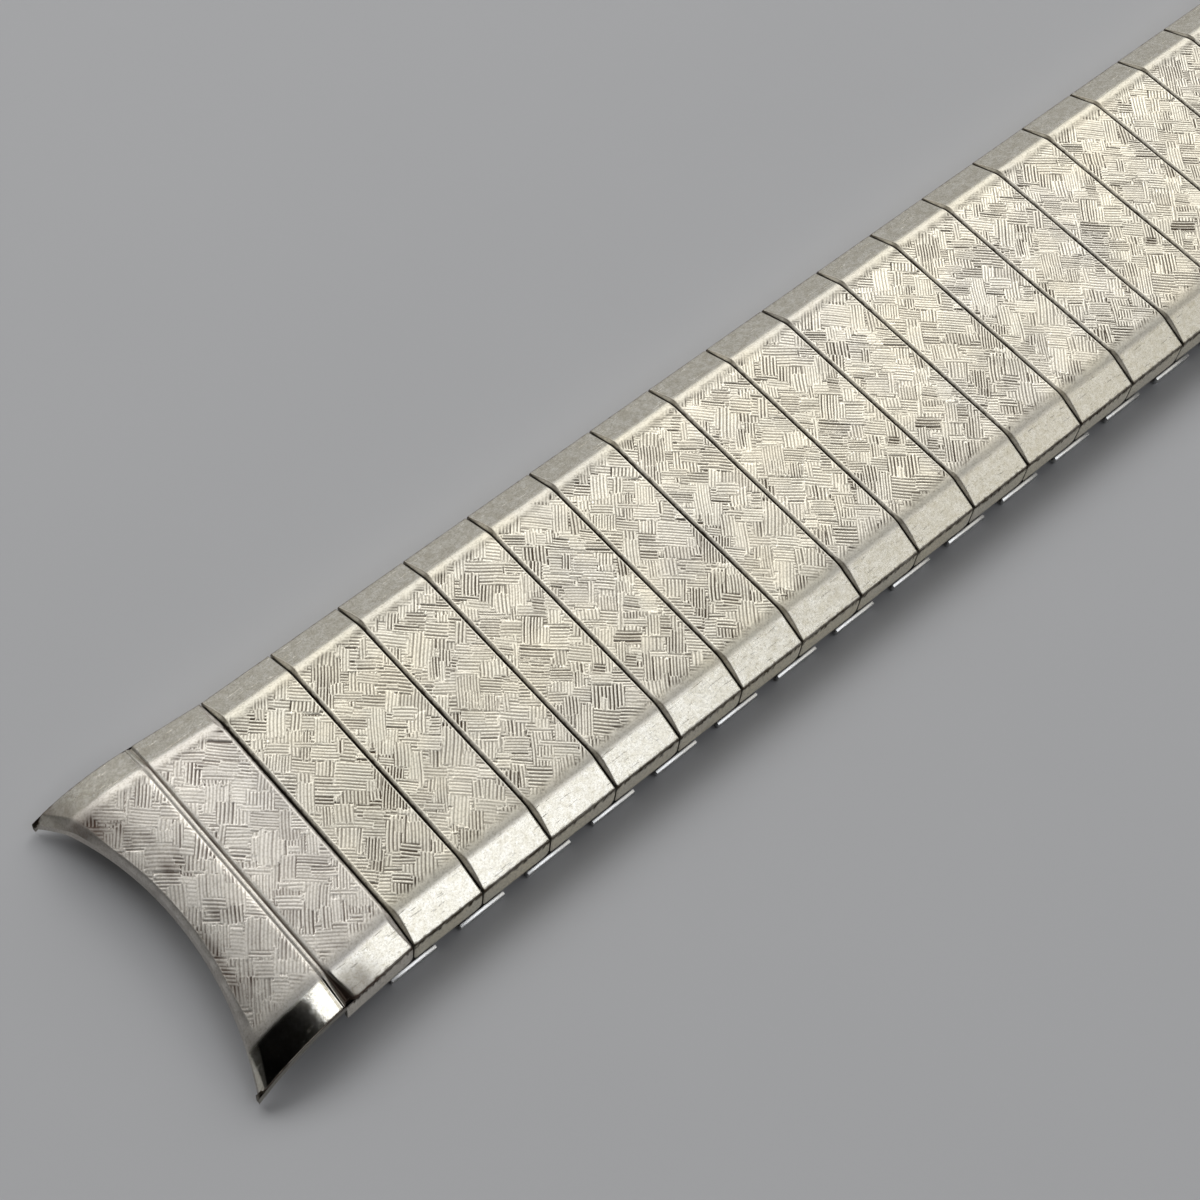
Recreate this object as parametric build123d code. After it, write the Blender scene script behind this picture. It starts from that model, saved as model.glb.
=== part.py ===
from build123d import *
from math import asin, atan2, cos, radians, sin, tan
import os

# Expansion watch band, laid flat and closed. Two rows of flattened steel tubes are staggered by
# half a pitch and tied together by U-shaped bows pushed in from both edges. The upper row wears
# stamped caps, and each end is a stamped end cap over a liner with a rolled spring-bar tube.
# X runs along the band, Y across it, Z is up and zero is the surface that the band lies on.
# All lengths are in millimetres.

# The whole band
cap_count = 18
link_pitch = 4.8
band_width = 18.6
band_height = 3.9

# Stamped caps
cap_sheet = 0.25
cap_gap = 0.12
flank_inset = 2.1
flank_drop = 0.95
side_wall_height = 1.9
wall_corner_cut = 0.4
edge_roll = 0.14
tab_width = 0.6
tab_seat_gap = 0.02
cap_seat_gap = 0.02

# Tubular sleeves of both rows
sleeve_wall = 0.2
sleeve_gap = 0.1
row_gap = 0.05
lower_sleeve_height = 1.55
lower_belly_radius = 0.75
lower_shoulder_cut = 0.18
upper_sleeve_height = 1.32
upper_corner_cut = 0.22

# End flaps folded up from the floor of each lower sleeve
flap_length = 3.1
flap_reach = 0.12
flap_height = 0.62
flap_bend_cut = 0.15

# Connecting bows
bow_gauge = 0.28
bow_width = 0.6
bow_leg_length = 5.0
bow_bend_cut = 0.12
bow_outer_clearance = 0.07
bow_inner_clearance = 0.05
bow_head_clearance = 0.04
bow_floor_lift = 0.22
slide_bow_offset = 1.7
hinge_bow_offset = 1.2

# Leaf springs
spring_gauge = 0.1
spring_width = 3.4
spring_end_inset = 0.45
spring_seat_gap = 0.02
spring_bow_gap = 0.3
spring_crest_gap = 0.06
spring_crest_share = 0.3

# End caps
end_length = 10.9
end_flare = 0.75
end_groove_place = 4.7
end_groove_width = 0.3
end_groove_depth = 0.12
end_bend_radius = 12.0
end_lip_height = 0.6
watch_case_radius = 23.0
end_sweep_degrees = 40.0
end_sweep_parts = 5

# End liners with the spring-bar tube
liner_sheet = 0.25
liner_width = 16.0
liner_fold_cut = 0.18
spring_bar_bore_radius = 0.8
spring_bar_place = 6.9

# Overrun of every cut past the face that it opens
overrun = 0.5

half_width = band_width / 2
ridge_level = band_height - flank_drop
wall_foot_level = ridge_level - side_wall_height
flank_angle = atan2(flank_drop, flank_inset)
cap_length = link_pitch - cap_gap
sleeve_length = link_pitch - sleeve_gap
upper_floor_level = lower_sleeve_height + row_gap
upper_top_level = upper_floor_level + upper_sleeve_height
web_outer = half_width - cap_sheet - bow_outer_clearance
web_inner = web_outer - bow_gauge
sleeve_half_width = web_inner - bow_inner_clearance
tube_outer_radius = spring_bar_bore_radius + liner_sheet
tip_reach = end_length - end_groove_place
tip_run = end_groove_place + end_bend_radius * asin(tip_reach / (end_bend_radius - flank_drop))


def along_x(face, length):
    """Extrudes a section drawn in Y and Z, centred on the YZ plane."""
    return extrude(Plane.YZ * face, length / 2, both=True)


def across_y(face, width):
    """Extrudes a section drawn in X and Z, centred on the XZ plane."""
    return extrude(Plane.XZ * face, width / 2, both=True)


def block(x_span, y_span, z_span):
    """Box between two corners, each span being its low and high value."""
    size = [high - low for low, high in (x_span, y_span, z_span)]
    middle = [(high + low) / 2 for low, high in (x_span, y_span, z_span)]
    return Pos(*middle) * Box(*size)


def both_sides(solid):
    """The solid and its mirror image across the middle of the band."""
    return [solid, mirror(solid, about=Plane.XZ)]


def crown_face(inset, foot, flare=0):
    """Section of a cap, taken in by inset, cut off at foot and widened by flare on each side."""
    side = half_width + flare - inset
    shoulder = side + inset - flank_inset - inset * tan(flank_angle / 2)
    ridge = ridge_level - inset * (1 - sin(flank_angle)) / cos(flank_angle)
    top = band_height - inset
    return make_face(Polyline(
        (side, foot), (side, ridge), (shoulder, top),
        (-shoulder, top), (-side, ridge), (-side, foot), close=True))


def crimp_tabs(centre, flare=0):
    """Tabs folded in from the side walls under the tongues of the sleeve inside."""
    top = upper_floor_level - tab_seat_gap
    low = top - cap_sheet
    tab = block((centre - tab_width / 2, centre + tab_width / 2),
                (web_inner, half_width + flare - cap_sheet / 2), (low, top))
    return both_sides(tab)


def cap_shell():
    """Stamped cap: engraved crown, sloped flanks, side walls and short transverse lips."""
    shell = along_x(crown_face(0, wall_foot_level), cap_length)
    feet = shell.edges().filter_by(Axis.Y).group_by(Axis.Z)[0]
    shell = chamfer(feet, wall_corner_cut)
    ends = shell.edges().filter_by(lambda edge: abs(edge.center().X) > cap_length / 2 - cap_sheet)
    rims = ends.filter_by(lambda edge: edge.center().Z > ridge_level)
    shell = chamfer(rims, edge_roll)
    shell -= along_x(crown_face(cap_sheet, wall_foot_level - overrun), cap_length - 2 * cap_sheet)
    shell -= block((-cap_length, cap_length), (cap_sheet - half_width, half_width - cap_sheet),
                   (wall_foot_level - overrun, upper_top_level + cap_seat_gap))
    for tab in crimp_tabs(0):
        shell += tab
    return shell


def bar_face(length, height, corner_cut, belly_radius=0):
    """Rectangle standing on zero, its corners cut and, where asked, rounded below."""
    bar = Pos(0, height / 2) * Rectangle(length, height)
    if belly_radius == 0:
        return chamfer(bar.vertices(), corner_cut)
    bar = fillet(bar.vertices().group_by(Axis.Y)[0], belly_radius)
    return chamfer(bar.vertices().group_by(Axis.Y)[-1], corner_cut)


def tube_face(length, height, corner_cut, belly_radius=0):
    """Section of a flattened tube standing on zero."""
    bore = Pos(0, height / 2) * Rectangle(length - 2 * sleeve_wall, height - 2 * sleeve_wall)
    if belly_radius > sleeve_wall:
        bore = fillet(bore.vertices().group_by(Axis.Y)[0], belly_radius - sleeve_wall)
    return bar_face(length, height, corner_cut, belly_radius) - bore


def upper_sleeve():
    """Flattened tube under a cap, with a tongue at each end for the cap's crimp tab."""
    section = tube_face(sleeve_length, upper_sleeve_height, upper_corner_cut)
    tube = Pos(0, 0, upper_floor_level) * across_y(section, 2 * sleeve_half_width)
    tongue = block((-tab_width / 2, tab_width / 2), (sleeve_half_width - sleeve_wall, web_outer),
                   (upper_floor_level, upper_floor_level + sleeve_wall))
    for side in both_sides(tongue):
        tube += side
    return tube


def lower_sleeve():
    """Flattened tube of the lower row, with end flaps that keep the bows in."""
    section = tube_face(sleeve_length, lower_sleeve_height, lower_shoulder_cut, lower_belly_radius)
    tube = across_y(section, 2 * sleeve_half_width)
    face = half_width + flap_reach
    inner = face - sleeve_wall
    corner = make_face(Polyline(
        (sleeve_half_width - sleeve_wall, 0), (face, 0), (face, flap_height),
        (inner, flap_height), (inner, sleeve_wall), (sleeve_half_width - sleeve_wall, sleeve_wall),
        close=True))
    outer_bend = corner.vertices().sort_by_distance((face, 0))[0]
    flap = along_x(chamfer(outer_bend, flap_bend_cut), flap_length)
    for side in both_sides(flap):
        tube += side
    return tube


def leaf_spring(seat, crest):
    """Thin strip lying on the level seat at both ends and bowed to the level crest between."""
    end = sleeve_half_width - spring_end_inset
    foot = web_inner - bow_leg_length - spring_bow_gap
    crest_half = spring_crest_share * foot
    line = [(-end, seat), (-foot, seat), (-crest_half, crest),
            (crest_half, crest), (foot, seat), (end, seat)]
    raised = [(place, level + spring_gauge) for place, level in reversed(line)]
    return along_x(make_face(Polyline(*line, *raised, close=True)), spring_width)


def upper_spring():
    """Spring under the upper legs, bowed up to the ceiling of its sleeve."""
    ceiling = upper_top_level - sleeve_wall
    seat = upper_floor_level + sleeve_wall + spring_seat_gap
    return leaf_spring(seat, ceiling - spring_crest_gap - spring_gauge)


def lower_spring():
    """Spring over the lower legs, bowed down to the floor of its sleeve."""
    ceiling = lower_sleeve_height - sleeve_wall
    return leaf_spring(ceiling - spring_seat_gap - spring_gauge, sleeve_wall + spring_crest_gap)


def bow(place):
    """U-shaped strip whose upper leg lies in an upper sleeve and lower leg in a lower one."""
    tip = web_inner - bow_leg_length
    low = sleeve_wall + bow_floor_lift
    high = upper_top_level - sleeve_wall - bow_head_clearance
    shape = make_face(Polyline(
        (tip, low), (web_outer, low), (web_outer, high), (tip, high),
        (tip, high - bow_gauge), (web_inner, high - bow_gauge),
        (web_inner, low + bow_gauge), (tip, low + bow_gauge), close=True))
    bends = shape.vertices().group_by(Axis.X)[-1]
    return Pos(place, 0, 0) * along_x(chamfer(bends, bow_bend_cut), bow_width)


def flare_at(run):
    """Extra half width of the end cap at a run from the first boundary."""
    return end_flare * run / tip_run


def straight_solid(inset, start, end):
    """Widening crown of the end cap's rear segment between two runs."""
    foot = wall_foot_level - overrun * (inset != 0)
    ends = [Pos(run, 0, 0) * (Plane.YZ * crown_face(inset, foot, flare_at(run)))
            for run in (start, end)]
    return loft(ends, ruled=True)


def bent_solid(section_at):
    """Widening section of the end cap carried on along the bend towards the watch."""
    stations = []
    for part in range(end_sweep_parts + 1):
        turn = end_sweep_degrees * part / end_sweep_parts
        run = end_groove_place + radians(turn) * end_bend_radius
        to_axis = band_height - end_bend_radius
        place = Pos(end_groove_place, 0, to_axis) * Rot(0, turn, 0) * Pos(0, 0, -to_axis)
        stations.append(place * (Plane.YZ * section_at(flare_at(run))))
    return loft(stations, ruled=True)


def case_side(radius):
    """Upright cylinder that stands for the side of a round watch case."""
    tip_side = half_width + end_flare
    centre = end_length + (watch_case_radius ** 2 - tip_side ** 2) ** 0.5
    return Pos(centre, 0, 0) * Cylinder(radius, 2 * end_bend_radius)


def slab_face(flare):
    """Section of the bent segment: the crown and an even depth below it."""
    side = half_width + flare
    shoulder = side - flank_inset
    line = [(side, ridge_level), (shoulder, band_height),
            (-shoulder, band_height), (-side, ridge_level)]
    below = [(y, z - end_lip_height) for y, z in reversed(line)]
    return make_face(Polyline(*line, *below, close=True))


def hollow_face(flare):
    """Section of the bent segment's hollow."""
    return crown_face(cap_sheet, wall_foot_level - overrun, flare)


def end_cap_shell():
    """End cap from the first boundary at zero to its two tips, hollow below."""
    back = cap_gap / 2
    rear = straight_solid(0, back, end_groove_place)
    feet = rear.edges().filter_by(Axis.Y).group_by(Axis.Z)[0]
    rear = chamfer(feet, wall_corner_cut)
    rims = rear.edges().filter_by(lambda edge: edge.center().X < back + cap_sheet / 2)
    rims = rims.filter_by(lambda edge: edge.center().Z > ridge_level)
    rear = chamfer(rims, edge_roll)
    rear -= straight_solid(cap_sheet, back + cap_sheet, end_groove_place + overrun)
    opening = straight_solid(cap_sheet, back - overrun, back + 2 * cap_sheet)
    lip_foot = upper_top_level + cap_seat_gap
    rear -= opening & block((-link_pitch, link_pitch), (-link_pitch * 3, link_pitch * 3),
                            (-overrun, lip_foot))

    front = bent_solid(slab_face) - case_side(watch_case_radius)
    front -= bent_solid(hollow_face) - case_side(watch_case_radius + cap_sheet)

    flare = flare_at(end_groove_place)
    groove = along_x(crown_face(-overrun, wall_foot_level - overrun, flare), end_groove_width)
    groove -= along_x(crown_face(end_groove_depth, wall_foot_level - 2 * overrun, flare),
                      link_pitch)
    shell = rear + front - Pos(end_groove_place, 0, 0) * groove
    for tab in crimp_tabs(link_pitch / 2, flare_at(link_pitch / 2)):
        shell += tab
    return shell


def end_liner():
    """Folded sheet under the end sleeve that runs forward and rolls up into a tube."""
    back = link_pitch / 2 + sleeve_gap / 2
    lap_end = end_groove_place - sleeve_gap / 2
    floor_run = spring_bar_place + tube_outer_radius - back
    outside = bar_face(2 * floor_run, upper_floor_level, liner_fold_cut, lower_belly_radius)
    inside = Pos(0, upper_floor_level / 2) * Rectangle(
        2 * (floor_run - liner_sheet), upper_floor_level - 2 * liner_sheet)
    inside = fillet(inside.vertices().group_by(Axis.Y)[0], lower_belly_radius - liner_sheet)
    fold = Pos(back + floor_run, 0) * (outside - inside)
    beyond = 2 * floor_run
    fold -= Pos(lap_end + beyond / 2, upper_floor_level) * Rectangle(beyond, upper_floor_level)
    fold -= Pos(spring_bar_place + beyond / 2, 0) * Rectangle(beyond, 2 * upper_floor_level)
    centre = Pos(spring_bar_place, tube_outer_radius)
    fold += centre * Circle(tube_outer_radius)
    fold -= centre * Circle(spring_bar_bore_radius)
    return across_y(fold, liner_width)


def number(index):
    """Two-figure suffix of a node's name."""
    return f"{index:02d}"


def write(name, place, solids):
    """Writes one sub-part, made of one or more separate solids, at its place."""
    placed = [place * solid for solid in solids]
    shape = placed[0] if len(placed) == 1 else Compound(placed)
    export_step(shape, f"parts/{name}.step")


def boundary(index):
    """Place along the band of the gap before cap number index + 1."""
    return (index - cap_count / 2) * link_pitch


os.makedirs("parts", exist_ok=True)

cap = cap_shell()
upper = [upper_sleeve(), upper_spring()]
lower = [lower_sleeve(), lower_spring()]
for bow_place in (-slide_bow_offset, hinge_bow_offset):
    lower += both_sides(bow(bow_place))

for index in range(1, cap_count + 1):
    middle = Pos(boundary(index) - link_pitch / 2, 0, 0)
    write("cap_" + number(index), middle, [cap])
    write("upper_sleeve_" + number(index), middle, upper)

for index in range(cap_count + 1):
    write("lower_link_" + number(index), Pos(boundary(index), 0, 0), lower)

end_cap = end_cap_shell()
end_core = [end_liner()] + [Pos(link_pitch / 2, 0, 0) * solid for solid in upper]
start_end = Location((boundary(0), 0, 0), (0, 0, 180))
finish_end = Location((boundary(cap_count), 0, 0))
for side, place in (("start", start_end), ("finish", finish_end)):
    write("end_cap_" + side, place, [end_cap])
    write("end_liner_" + side, place, end_core)

print("closed length", cap_count * link_pitch + 2 * end_length)
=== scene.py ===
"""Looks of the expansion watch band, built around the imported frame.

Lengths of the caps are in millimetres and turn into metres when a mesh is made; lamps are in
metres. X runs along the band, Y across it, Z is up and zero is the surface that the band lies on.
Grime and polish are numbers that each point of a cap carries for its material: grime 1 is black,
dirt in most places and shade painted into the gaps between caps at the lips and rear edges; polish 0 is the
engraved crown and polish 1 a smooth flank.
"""
import bmesh
import bpy
import numpy as np
from math import asin, atan2, cos, pi, radians, sin, sqrt, tan
from mathutils import Euler, Matrix, Vector


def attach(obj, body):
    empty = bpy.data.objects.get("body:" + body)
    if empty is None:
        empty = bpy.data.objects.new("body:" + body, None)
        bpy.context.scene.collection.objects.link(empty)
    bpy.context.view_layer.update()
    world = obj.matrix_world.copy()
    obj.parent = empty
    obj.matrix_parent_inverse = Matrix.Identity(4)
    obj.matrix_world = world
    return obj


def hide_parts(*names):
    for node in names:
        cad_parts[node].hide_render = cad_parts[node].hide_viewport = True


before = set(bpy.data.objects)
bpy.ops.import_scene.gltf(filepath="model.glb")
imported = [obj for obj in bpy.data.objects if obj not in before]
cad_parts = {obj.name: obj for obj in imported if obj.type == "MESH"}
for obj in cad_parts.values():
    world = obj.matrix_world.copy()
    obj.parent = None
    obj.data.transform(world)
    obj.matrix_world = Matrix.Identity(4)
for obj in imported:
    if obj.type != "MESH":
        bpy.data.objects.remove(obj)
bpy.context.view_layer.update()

MM = 0.001

# Sizes shared with the solids
CAPS = 18
PITCH = 4.8
HALF_WIDTH = 9.3
TOP = 3.9
RIDGE = 2.95
FOOT = 1.05
SHOULDER = 7.2
SHEET = 0.25
HALF_CAP = 2.34
LIP_FOOT = 2.94
CORNER_CUT = 0.4
TAB_HALF = 0.3
TAB_LOW = 1.33
TAB_HIGH = 1.58
TAB_INNER = 8.70
END_TAB_REACH = 0.15
END_START = 0.06
END_LENGTH = 10.9
GROOVE_PLACE = 4.7
BEND_RADIUS = 12.0
END_LIP = 0.6
END_FLARE = 0.75
CASE_RADIUS = 23.0
FLANK = atan2(TOP - RIDGE, HALF_WIDTH - SHOULDER)
CASE_CENTRE = END_LENGTH + sqrt(CASE_RADIUS ** 2 - (HALF_WIDTH + END_FLARE) ** 2)
TIP_RUN = GROOVE_PLACE + BEND_RADIUS * asin((END_LENGTH - GROOVE_PLACE) / (BEND_RADIUS - TOP + RIDGE))

# Steps of the meshes
TOP_STEP = 0.042
END_STEP = 0.055
WALL_STEP = 0.06
HOLLOW_STEP = 0.6
GROOVE_ROWS = 22
FRONT_ROWS = 86
RIM_ROWS = 18
HOLLOW_ROWS = 30
LOW_WALL_COLUMNS = 26
CORNER_SHARES = np.array([0, 0.05, 0.15, 0.35, 0.65, 1.0])

# Rounded edges and bevels; a crown's bevel has its width at each place across the band
EDGE_ROLL = 0.06
ROLL_SHARES = np.array([1.0, 0.55, 0.25, 0.08, 0.0])
SHOULDER_ROUND = 1.8
RIDGE_ROUND = 0.14
RIDGE_BAND = 0.3
REAR_CUT = 0.24
FRONT_CUT = CORNER_CUT + 0.1
TAB_CUT = 0.04
BEVEL_PLACES = [0, 6.7, 7.4, 7.8, 8.5, 9.1, HALF_WIDTH]
BEVEL_WIDTHS = [0.16, 0.165, 0.23, 0.24, 0.16, 0.06, 0.03]
BEVEL_SHARES = np.array([0, 0.34, 0.68, 0.92, 1.08, 1.35])
BEVEL_SLOPE = 0.62
BEVEL_SOFTNESS = 0.02

# Cross groove of the end caps, in a shallow dip, with a bead and a fine second line on its front
# side. It widens to a wedge at both ends; the far values are for its end on the -Y side.
GROOVE_BAND = 0.35
GROOVE_SHIFT = 0.1
GROOVE_WIDTH = 0.05
GROOVE_DEPTH = 0.12
WEDGE_SHIFT = 0.12
WEDGE_WIDTH = 0.2
WEDGE_DEPTH = 0.08
FAR_WEDGE_SHARE = 0.3
FAR_DEPTH_SHARE = -0.7
BEAD_PLACE = 0.12
BEAD_WIDTH = 0.07
SECOND_PLACE = 0.26
SECOND_WIDTH = 0.03
SECOND_DEPTH = 0.02
DIP_PLACE = 0.05
DIP_EDGE = 0.45
DIP_FLOOR = 0.2
DIP_DEPTH = 0.05

# Bevel round the hollow rim, wider towards the sides
RIM_BEVEL = 0.4
RIM_BEVEL_GAIN = 0.45
RIM_BEVEL_START = 4.5
RIM_DROP = 0.3
RIM_CURVE = 1.25

# Unevenness of worn crowns
CAP_WEAR = 0.012
END_WEAR = 0.014

# Engraving: each layer has its cell, shortest and longest half length, fewest and most lines
STROKE_LAYERS = ((1.5, 1.15, 1.5, 9, 12), (1.3, 0.5, 1.25, 4, 9), (1.9, 0.3, 0.8, 2, 5))
STROKE_CELLS = 30
STROKE_STRAY = 0.26
STROKE_MARGIN = 2
STROKE_PITCH = 0.192
STROKE_ANGLES = (radians(-42), radians(51))
STROKE_TURN = radians(6)
STROKE_DEPTH = 0.032
STROKE_LIFT = 0.006
STROKE_LEAN = 0.016
STROKE_LINES = 64
ODD_STROKE_SHARE = 0.15
LINE_REACH_SHARES = (0.86, 1.0)
LINE_SHIFT = 0.09
LINE_FORCES = (0.35, 0.8)
LINE_TAPER = 0.05
LINE_SWAY = 0.14
LINE_SWAY_RATE = 1.9
DEEP_LINE_SHARE = 0.07
DEEP_LINE_FORCE = 1.35
ENGRAVED_HALF = 6.95
PATTERN_SEED = 7
PATTERN_SPAN = (-2, 34)
PATTERN_HALF = 9
PATTERN_START = 3
PATTERN_WINDOWS = 5
PATTERN_SHIFT = 0.35
PATTERN_SHIFT_RATE = 2.1
END_PATTERN_SPAN = (7, 22)
END_PATTERN_START = 9.0
END_DEPTH_SHARE = 0.85
FRONT_DEPTH_LOSS = 0.2

# The least of each thing that a stroke draws, and its range above that
STROKE_PITCH_DRAW = (0.86, 0.3)
STROKE_STRENGTH_DRAW = (0.22, 0.78)
STROKE_STRENGTH_CURVE = 1.2
STROKE_SHARPNESS_DRAW = (0.75, 0.9)

# Grime in each place, and shade painted into the gaps between caps
BEVEL_GRIME = 0.1
FLANK_BEVEL_GRIME = 0.16
BEVEL_LINE_GRIME = 0.4
FRONT_EDGE_GRIME = 0.4
# Painted shade: the crown's rear edge is darkened towards black where it drops into the gap to the next cap
REAR_EDGE_PAINTED_SHADE = 0.85
RIDGE_GRIME = 0.9
SHOULDER_GRIME = 0.07
GROOVE_GRIME = 0.95
FAR_GROOVE_LOSS = 0.6
SECOND_GRIME = 0.5
BEAD_GRIME = 0.16
WALL_EDGE_GRIME = 0.25
RIM_TARNISH = 0.36
PATCH_TARNISH = 0.8
FRONT_TARNISH = 0.3
CORNER_TARNISH = 0.4
# Painted shade on the lips, rows from the crown edge to the foot: first the caps' lips in the gaps between
# caps, then the end cap's rear lip and the strip under its rim, darker towards the foot
LIP_PAINTED_SHADE = (0.8, 0.6, 0.45)
END_LIP_PAINTED_SHADE = (0.2, 0.5, 0.95)

# Depth of the grime under a ridge, and how far it swells and ebbs
WALL_GRIME_DEPTH = 0.23
WALL_GRIME_SWELL = 0.26
WALL_GRIME_EBB = 0.2

# Polish that each place lacks
BEVEL_DULLING = 1.3
FLANK_BEVEL_DULLING = 2.4
SHOULDER_DULLING = 1.6
BEAD_DULLING = 1.4
WALL_DULLING = 3.2

# Grime and polish of whole faces
INSIDE = (0.5, 0.5)
WALL_BACK = (0.6, 0.0)
HOLLOW = (0.55, 0.0)
LOW_WALL = (0.3, 0.8)
TAB = (0.4, 0.0)
RIM_FACE = (0.35, 0.0)

# First seeds of the ripples on the caps, and the seeds of those on the end caps
AREA_SEED = 40
CROWN_SEED = 100
MARK_SEED = 300
WALL_SEED = 500
END_SEEDS = {"start": 11, "finish": 23}
PATCH_SEED = 31
FRONT_SEED = 33
RIM_SEED = 37
CORNER_SEED = 39

# Easing of the solids under the caps, and the slope of the lower row's flap tops
EASE = 0.02 * MM
WELD = 0.0001 * MM
SHARP = radians(35)
FLAT = radians(0.5)
SHADED_SHARP = radians(40)
FLAP_FACE = 9.41 * MM
FLAP_TOP = 0.61 * MM
FLAP_FALL = 0.085 * MM

# Noise scales of the materials, in waves per metre
WIDE_SCALE = 170.0
CLOUD_SCALE = 420.0
GRAIN_SCALE = 2300.0
SPECKLE_SCALE = 8200.0
STREAK_SCALE = 2600.0
DULL_SCALE = 300.0
MOTTLE_SCALE = 60.0

# Scratches: their angle across the band, how much longer than wide they are, and their scale
SCRATCHES = ((35, 16.0, 620.0), (-63, 22.0, 480.0))
SCRATCH_STRENGTH = 0.16
FLECK_STRENGTH = 0.5
# Strength of the shade painted on the links under the caps' side walls
SHADE_UNDER_WALLS_STRENGTH = 0.85
BUMP_DISTANCE = 0.01 * MM

# Colours of worn places, and of the shade painted under the caps' side walls
WORN_GREY = (0.76, 0.735, 0.69)
SANDY_DARK = (0.64, 0.605, 0.51)
SANDY_LIGHT = (0.80, 0.775, 0.70)
FLECK = (0.36, 0.32, 0.24)
SCRATCH = (0.34, 0.30, 0.22)
SHADE_UNDER_WALLS = (0.06, 0.05, 0.045)

# Roughness of the caps, what polish takes off it, and what grime and grain add
CAP_ROUGHNESS = 0.36
POLISH_SMOOTHING = 0.14
GRIME_ROUGHENING = 0.25
GRAIN_ROUGHENING = 0.06

# Light of the room low down, higher up and overhead, its glow, and the way to its dark patch
LOW_SKY = 0.43
HIGH_SKY = 0.45
TOP_SKY = (0.66, 0.655, 0.64)
HORIZON_GLOW = (4.0, 4.0, 4.0)
DARK_PATCH = (-0.42, -0.50, 0.76)
DAYLIGHT = (1.0, 0.995, 0.98)

# Half the width of the floor
FLOOR_HALF = 2000 * MM

# Camera, with its place in millimetres and its turn in degrees
CAMERA_PLACE = (-71.442, -42.858, 117.828)
CAMERA_TURN = (29.535, -4.307, -41.639)
LENS = 69.0
SENSOR_WIDTH = 36.0
CLIP_START = 5.0


def smooth(value, low, high):
    """Rises smoothly from 0 at low to 1 at high, or falls where low is above high."""
    t = np.clip((value - low) / (high - low), 0, 1)
    return t * t * (3 - 2 * t)


def hump(value, width):
    """1 where value is zero, falling away smoothly to both sides over about the width."""
    return np.exp(-(value / width) ** 2)


def ripple(x, y, seed, size=2.4):
    """Smooth uneven height between -1 and 1 made of a few waves, for hand-worn metal."""
    waves = 7
    rng = np.random.default_rng(seed)
    total = np.zeros_like(x)
    for _ in range(waves):
        angle, phase = rng.uniform(0, 2 * pi, 2)
        wave = size * rng.uniform(0.6, 1.8)
        total += np.sin((x * cos(angle) + y * sin(angle)) * 2 * pi / wave + phase)
    return total / waves


def drawn(least_and_range, draw):
    """A value from its least, its range and a draw between 0 and 1."""
    return least_and_range[0] + least_and_range[1] * draw


def stamp_strokes(seed, x_span, y_half):
    """Patches of parallel graver lines in two directions: broad ones, then two layers of smaller ones."""
    rng = np.random.default_rng(seed)
    strokes = []
    for cell, shortest, longest, fewest, most in STROKE_LAYERS:
        layer = []
        for i in range(-STROKE_CELLS, STROKE_CELLS + 1):
            for j in range(-STROKE_CELLS, STROKE_CELLS + 1):
                p = (i + rng.uniform(-STROKE_STRAY, STROKE_STRAY)) * cell
                q = (j + rng.uniform(-STROKE_STRAY, STROKE_STRAY)) * cell
                draws = rng.uniform(size=8)
                x = p * cos(STROKE_ANGLES[0]) + q * cos(STROKE_ANGLES[1])
                y = p * sin(STROKE_ANGLES[0]) + q * sin(STROKE_ANGLES[1])
                past_end = not x_span[0] - STROKE_MARGIN < x < x_span[1] + STROKE_MARGIN
                if past_end or abs(y) > y_half + STROKE_MARGIN:
                    continue
                kind = (i + j + (draws[0] < ODD_STROKE_SHARE)) % 2
                layer.append({
                    "place": (x, y),
                    "angle": STROKE_ANGLES[kind] + STROKE_TURN * (draws[2] - 0.5),
                    "half_length": shortest + (longest - shortest) * draws[3],
                    "count": fewest + int(draws[1] * (most - fewest + 1)),
                    "pitch": STROKE_PITCH * drawn(STROKE_PITCH_DRAW, draws[6]),
                    "strength": drawn(STROKE_STRENGTH_DRAW, draws[4] ** STROKE_STRENGTH_CURVE),
                    "sharpness": drawn(STROKE_SHARPNESS_DRAW, draws[7]),
                    "seed": int(draws[5] * 1e6)})
        strokes += [layer[k] for k in rng.permutation(len(layer))]
    return strokes


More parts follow.
